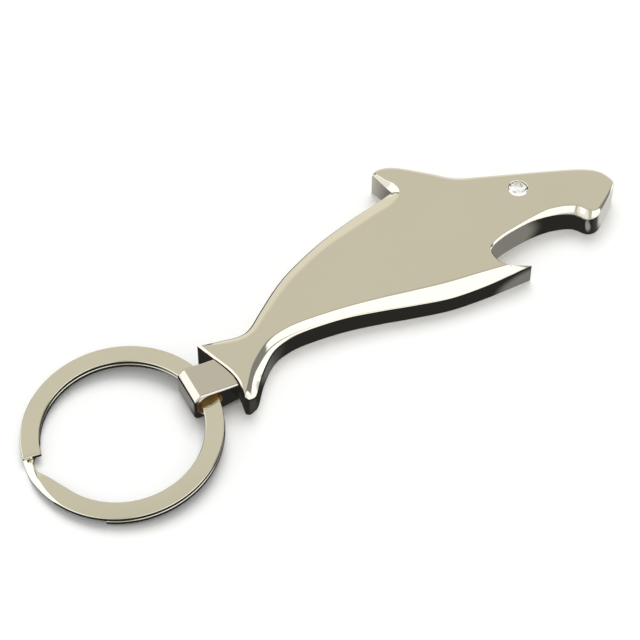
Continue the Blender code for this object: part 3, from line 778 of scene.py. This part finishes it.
def add_split_ring(nickel):
    """A strip's section turned step by step about the ring's axis: lower turn, ramp and
    upper turn. It then lies down through the link's eye."""
    work = bmesh.new()
    turn = work.verts.layers.float.new("turn")
    middle = (RING_OUTER_DIA - RING_BAND) / 2
    climb = RING_STRIP + RING_COIL_GAP
    for side_x, side_z in ((1, 1), (-1, 1), (-1, -1), (1, -1)):
        work.verts.new(((middle + side_x * RING_BAND / 2) * MM, 0.0,
                        (side_z * RING_STRIP / 2 - climb / 2) * MM))
    work.faces.new(work.verts)
    bmesh.ops.bevel(work, geom=list(work.verts), offset=RING_CORNER * MM, offset_type="OFFSET",
                    segments=RING_CORNER_STEPS, profile=0.5, affect="VERTICES", material=-1)
    bmesh.ops.rotate(work, verts=work.verts, cent=(0, 0, 0),
                     matrix=Matrix.Rotation(math.radians(RING_LOWER_START_DEG), 3, "Z"))
    for vert in work.verts:
        vert[turn] = RING_LOWER_START_DEG
    section = list(work.faces) + list(work.edges) + list(work.verts)
    whole = RING_UPPER_END_DEG + 720 - RING_LOWER_START_DEG
    steps = round(whole / RING_STEP_DEG)
    for step in range(steps):
        last = RING_LOWER_START_DEG + whole * step / steps
        angle = RING_LOWER_START_DEG + whole * (step + 1) / steps
        rise = rise_at(angle, climb) - rise_at(last, climb)
        section = bmesh.ops.spin(
            work, geom=section, cent=(0, 0, 0), axis=(0, 0, 1), dvec=(0, 0, rise * MM),
            angle=math.radians(whole / steps), steps=1, use_merge=False)["geom_last"]
        for vert in verts_of(section):
            vert[turn] = angle
    shape_crossover(work, turn, climb)
    ends = [face for face in work.faces if len(face.verts) > 4]
    rims = list(dict.fromkeys(edge for face in ends for edge in face.edges))
    bmesh.ops.bevel(work, geom=rims, offset=RING_END_ROUND * MM, offset_type="OFFSET",
                    segments=RING_END_STEPS, profile=0.5, affect="EDGES",
                    clamp_overlap=True, material=-1)
    bmesh.ops.remove_doubles(work, verts=work.verts, dist=MERGE * MM)
    bmesh.ops.recalc_face_normals(work, faces=work.faces)
    bmesh.ops.translate(work, verts=work.verts, vec=((RING_SHIFT - middle) * MM, 0, 0))
    lay = (Matrix.Rotation(math.radians(RING_YAW_DEG), 3, "Z")
           @ Matrix.Rotation(math.radians(-RING_TILT_DEG), 3, "Y"))
    bmesh.ops.rotate(work, verts=work.verts, cent=(0, 0, 0), matrix=lay)
    bmesh.ops.translate(work, verts=work.verts, vec=EYE_CENTRE * MM)
    even_normals(add_piece("split_ring_coil", work, [nickel], "ring", "split_ring"))


def add_eye_stone(glass):
    """A brilliant cut: the hull over its table, crown, girdle, pavilion and culet points."""
    work = bmesh.new()
    for count, radius, height, share in STONE_RINGS:
        for index in range(count):
            angle = math.tau * (index + share) / count + STONE_TURN
            work.verts.new(((STONE_X + radius * math.cos(angle)) * MM,
                            (STONE_Y + radius * math.sin(angle)) * MM, height * MM))
    bmesh.ops.convex_hull(work, input=work.verts)
    bmesh.ops.dissolve_limit(work, angle_limit=math.radians(STONE_FLAT_DEG),
                             verts=work.verts, edges=work.edges)
    bmesh.ops.recalc_face_normals(work, faces=work.faces)
    add_piece("eye_brilliant", work, [glass], "opener", "eye_stone",
              STONE_CREASE_DEG)


def add_eye_foil(foil):
    """A thin silvered cup that follows the underside of the stone."""
    work = bmesh.new()
    turn_profile(work, FOIL_PROFILE, FOIL_SIDES)
    bmesh.ops.recalc_face_normals(work, faces=work.faces)
    bmesh.ops.translate(work, verts=work.verts, vec=(STONE_X * MM, STONE_Y * MM, 0.0))
    add_piece("eye_foil_cup", work, [foil], "opener", "eye_cement")


def add_camera():
    data = bpy.data.cameras.new("camera")
    data.sensor_width = SENSOR
    data.lens = LENS
    data.clip_start = CLIP_START * MM
    turn = math.radians(CAMERA_TURN_DEG)
    rise = math.radians(CAMERA_RISE_DEG)
    back = Vector((math.sin(turn) * math.cos(rise), -math.cos(turn) * math.cos(rise),
                   math.sin(rise)))
    camera = add_object("camera", data)
    camera.location = (CAMERA_TARGET + back * CAMERA_AWAY) * MM
    camera.rotation_euler = (-back).to_track_quat("-Z", "Y").to_euler()
    bpy.context.scene.camera = camera


def add_table(paper):
    work = bmesh.new()
    bmesh.ops.create_grid(work, x_segments=1, y_segments=1, size=TABLE_HALF_WIDTH * MM)
    table = add_object("table", mesh_from("table", work))
    table.data.materials.append(paper)


def add_key_lamp():
    """A soft lamp for the shadow on the paper, which mirrors and the stone don't show."""
    data = bpy.data.lights.new("key", "SUN")
    data.energy = KEY_ENERGY
    data.angle = math.radians(KEY_SPREAD_DEG)
    key = add_object("key", data)
    key.rotation_euler = KEY_FROM.to_track_quat("Z", "Y").to_euler()
    key.visible_glossy = False
    key.visible_transmission = False


def add_room():
    """The room round the table: soft panels in mirrors, and an even fill elsewhere."""
    world = bpy.data.worlds.new("studio")
    bpy.context.scene.world = world
    world.use_nodes = True
    tree = world.node_tree
    tree.nodes.clear()
    way = add_node(tree, "ShaderNodeTexCoord", {}).outputs["Generated"]
    parts = add_node(tree, "ShaderNodeSeparateXYZ", {"Vector": way})
    level = add_node(tree, "ShaderNodeCombineXYZ", {
        "X": parts.outputs["X"], "Y": parts.outputs["Y"]})
    compass = add_node(tree, "ShaderNodeVectorMath", {
        0: level.outputs["Vector"]}, operation="NORMALIZE")
    room = grey(ROOM_LIGHT)
    for azimuth, full_deg, none_deg, strength, colour, levels in PANELS:
        turn = math.radians(azimuth)
        facing = add_node(tree, "ShaderNodeVectorMath", {
            0: compass.outputs["Vector"], 1: (math.cos(turn), math.sin(turn), 0.0)},
            operation="DOT_PRODUCT")
        side = add_node(tree, "ShaderNodeMapRange", {
            "Value": facing.outputs["Value"], "From Min": math.cos(math.radians(none_deg)),
            "From Max": math.cos(math.radians(full_deg)), "To Min": 0.0, "To Max": strength},
            interpolation_type="SMOOTHSTEP")
        ramp = add_node(tree, "ShaderNodeValToRGB", {"Fac": parts.outputs["Z"]})
        stops = ramp.color_ramp.elements
        while len(stops) < len(levels):
            stops.new(0.5)
        for stop, (height, share) in zip(stops, levels):
            stop.position = height
            stop.color = [share * part for part in linear(colour)]
        panel = add_node(tree, "ShaderNodeMixRGB", {
            "Fac": 1.0, "Color1": ramp.outputs["Color"], "Color2": side.outputs["Result"]},
            blend_type="MULTIPLY")
        room = add_node(tree, "ShaderNodeMixRGB", {
            "Fac": 1.0, "Color1": room, "Color2": panel.outputs["Color"]},
            blend_type="LIGHTEN").outputs["Color"]
    path = add_node(tree, "ShaderNodeLightPath", {})
    through = add_node(tree, "ShaderNodeMixRGB", {
        "Fac": path.outputs["Is Transmission Ray"], "Color1": room, "Color2": grey(STONE_LIGHT)},
        blend_type="LIGHTEN")
    seen = add_node(tree, "ShaderNodeMixRGB", {
        "Fac": path.outputs["Is Diffuse Ray"], "Color1": through.outputs["Color"],
        "Color2": grey(FILL_LIGHT)})
    sky = add_node(tree, "ShaderNodeBackground", {"Color": seen.outputs["Color"]})
    add_node(tree, "ShaderNodeOutputWorld", {"Surface": sky.outputs["Background"]})


add_shark_plate(polished_nickel("bright_nickel_plating", ("#dcd8ca", "#d8d4c6"),
                                dull=0.05, line_turn=0.35))
add_tail_link(polished_nickel("bright_nickel_link_plating", ("#d1cdc4", "#cbc7be"),
                              dull=0.06, line_turn=0.0),
              turned_metal("copper_flash_bore", ("#e6c48c", "#b58e55"), metallic=0.1))
add_split_ring(polished_nickel("bright_nickel_steel_plating", ("#deddcc", "#dad6c8"),
                               dull=0.06, line_turn=1.2))
add_eye_stone(cut_glass("cut_glass"))
add_eye_foil(silver_foil("silvered_foil"))

# The rivet's solid shows as it is, in its own finish
rivet = frame["nodes"]["swivel_rivet"]
rivet.data.materials.clear()
rivet.data.materials.append(turned_metal("turned_brass", ("#b7965a", "#9a7a45"), metallic=1.0))

bpy.context.scene.view_settings.view_transform = "Standard"
add_camera()
add_table(white_paper("white_paper"))
add_key_lamp()
add_room()
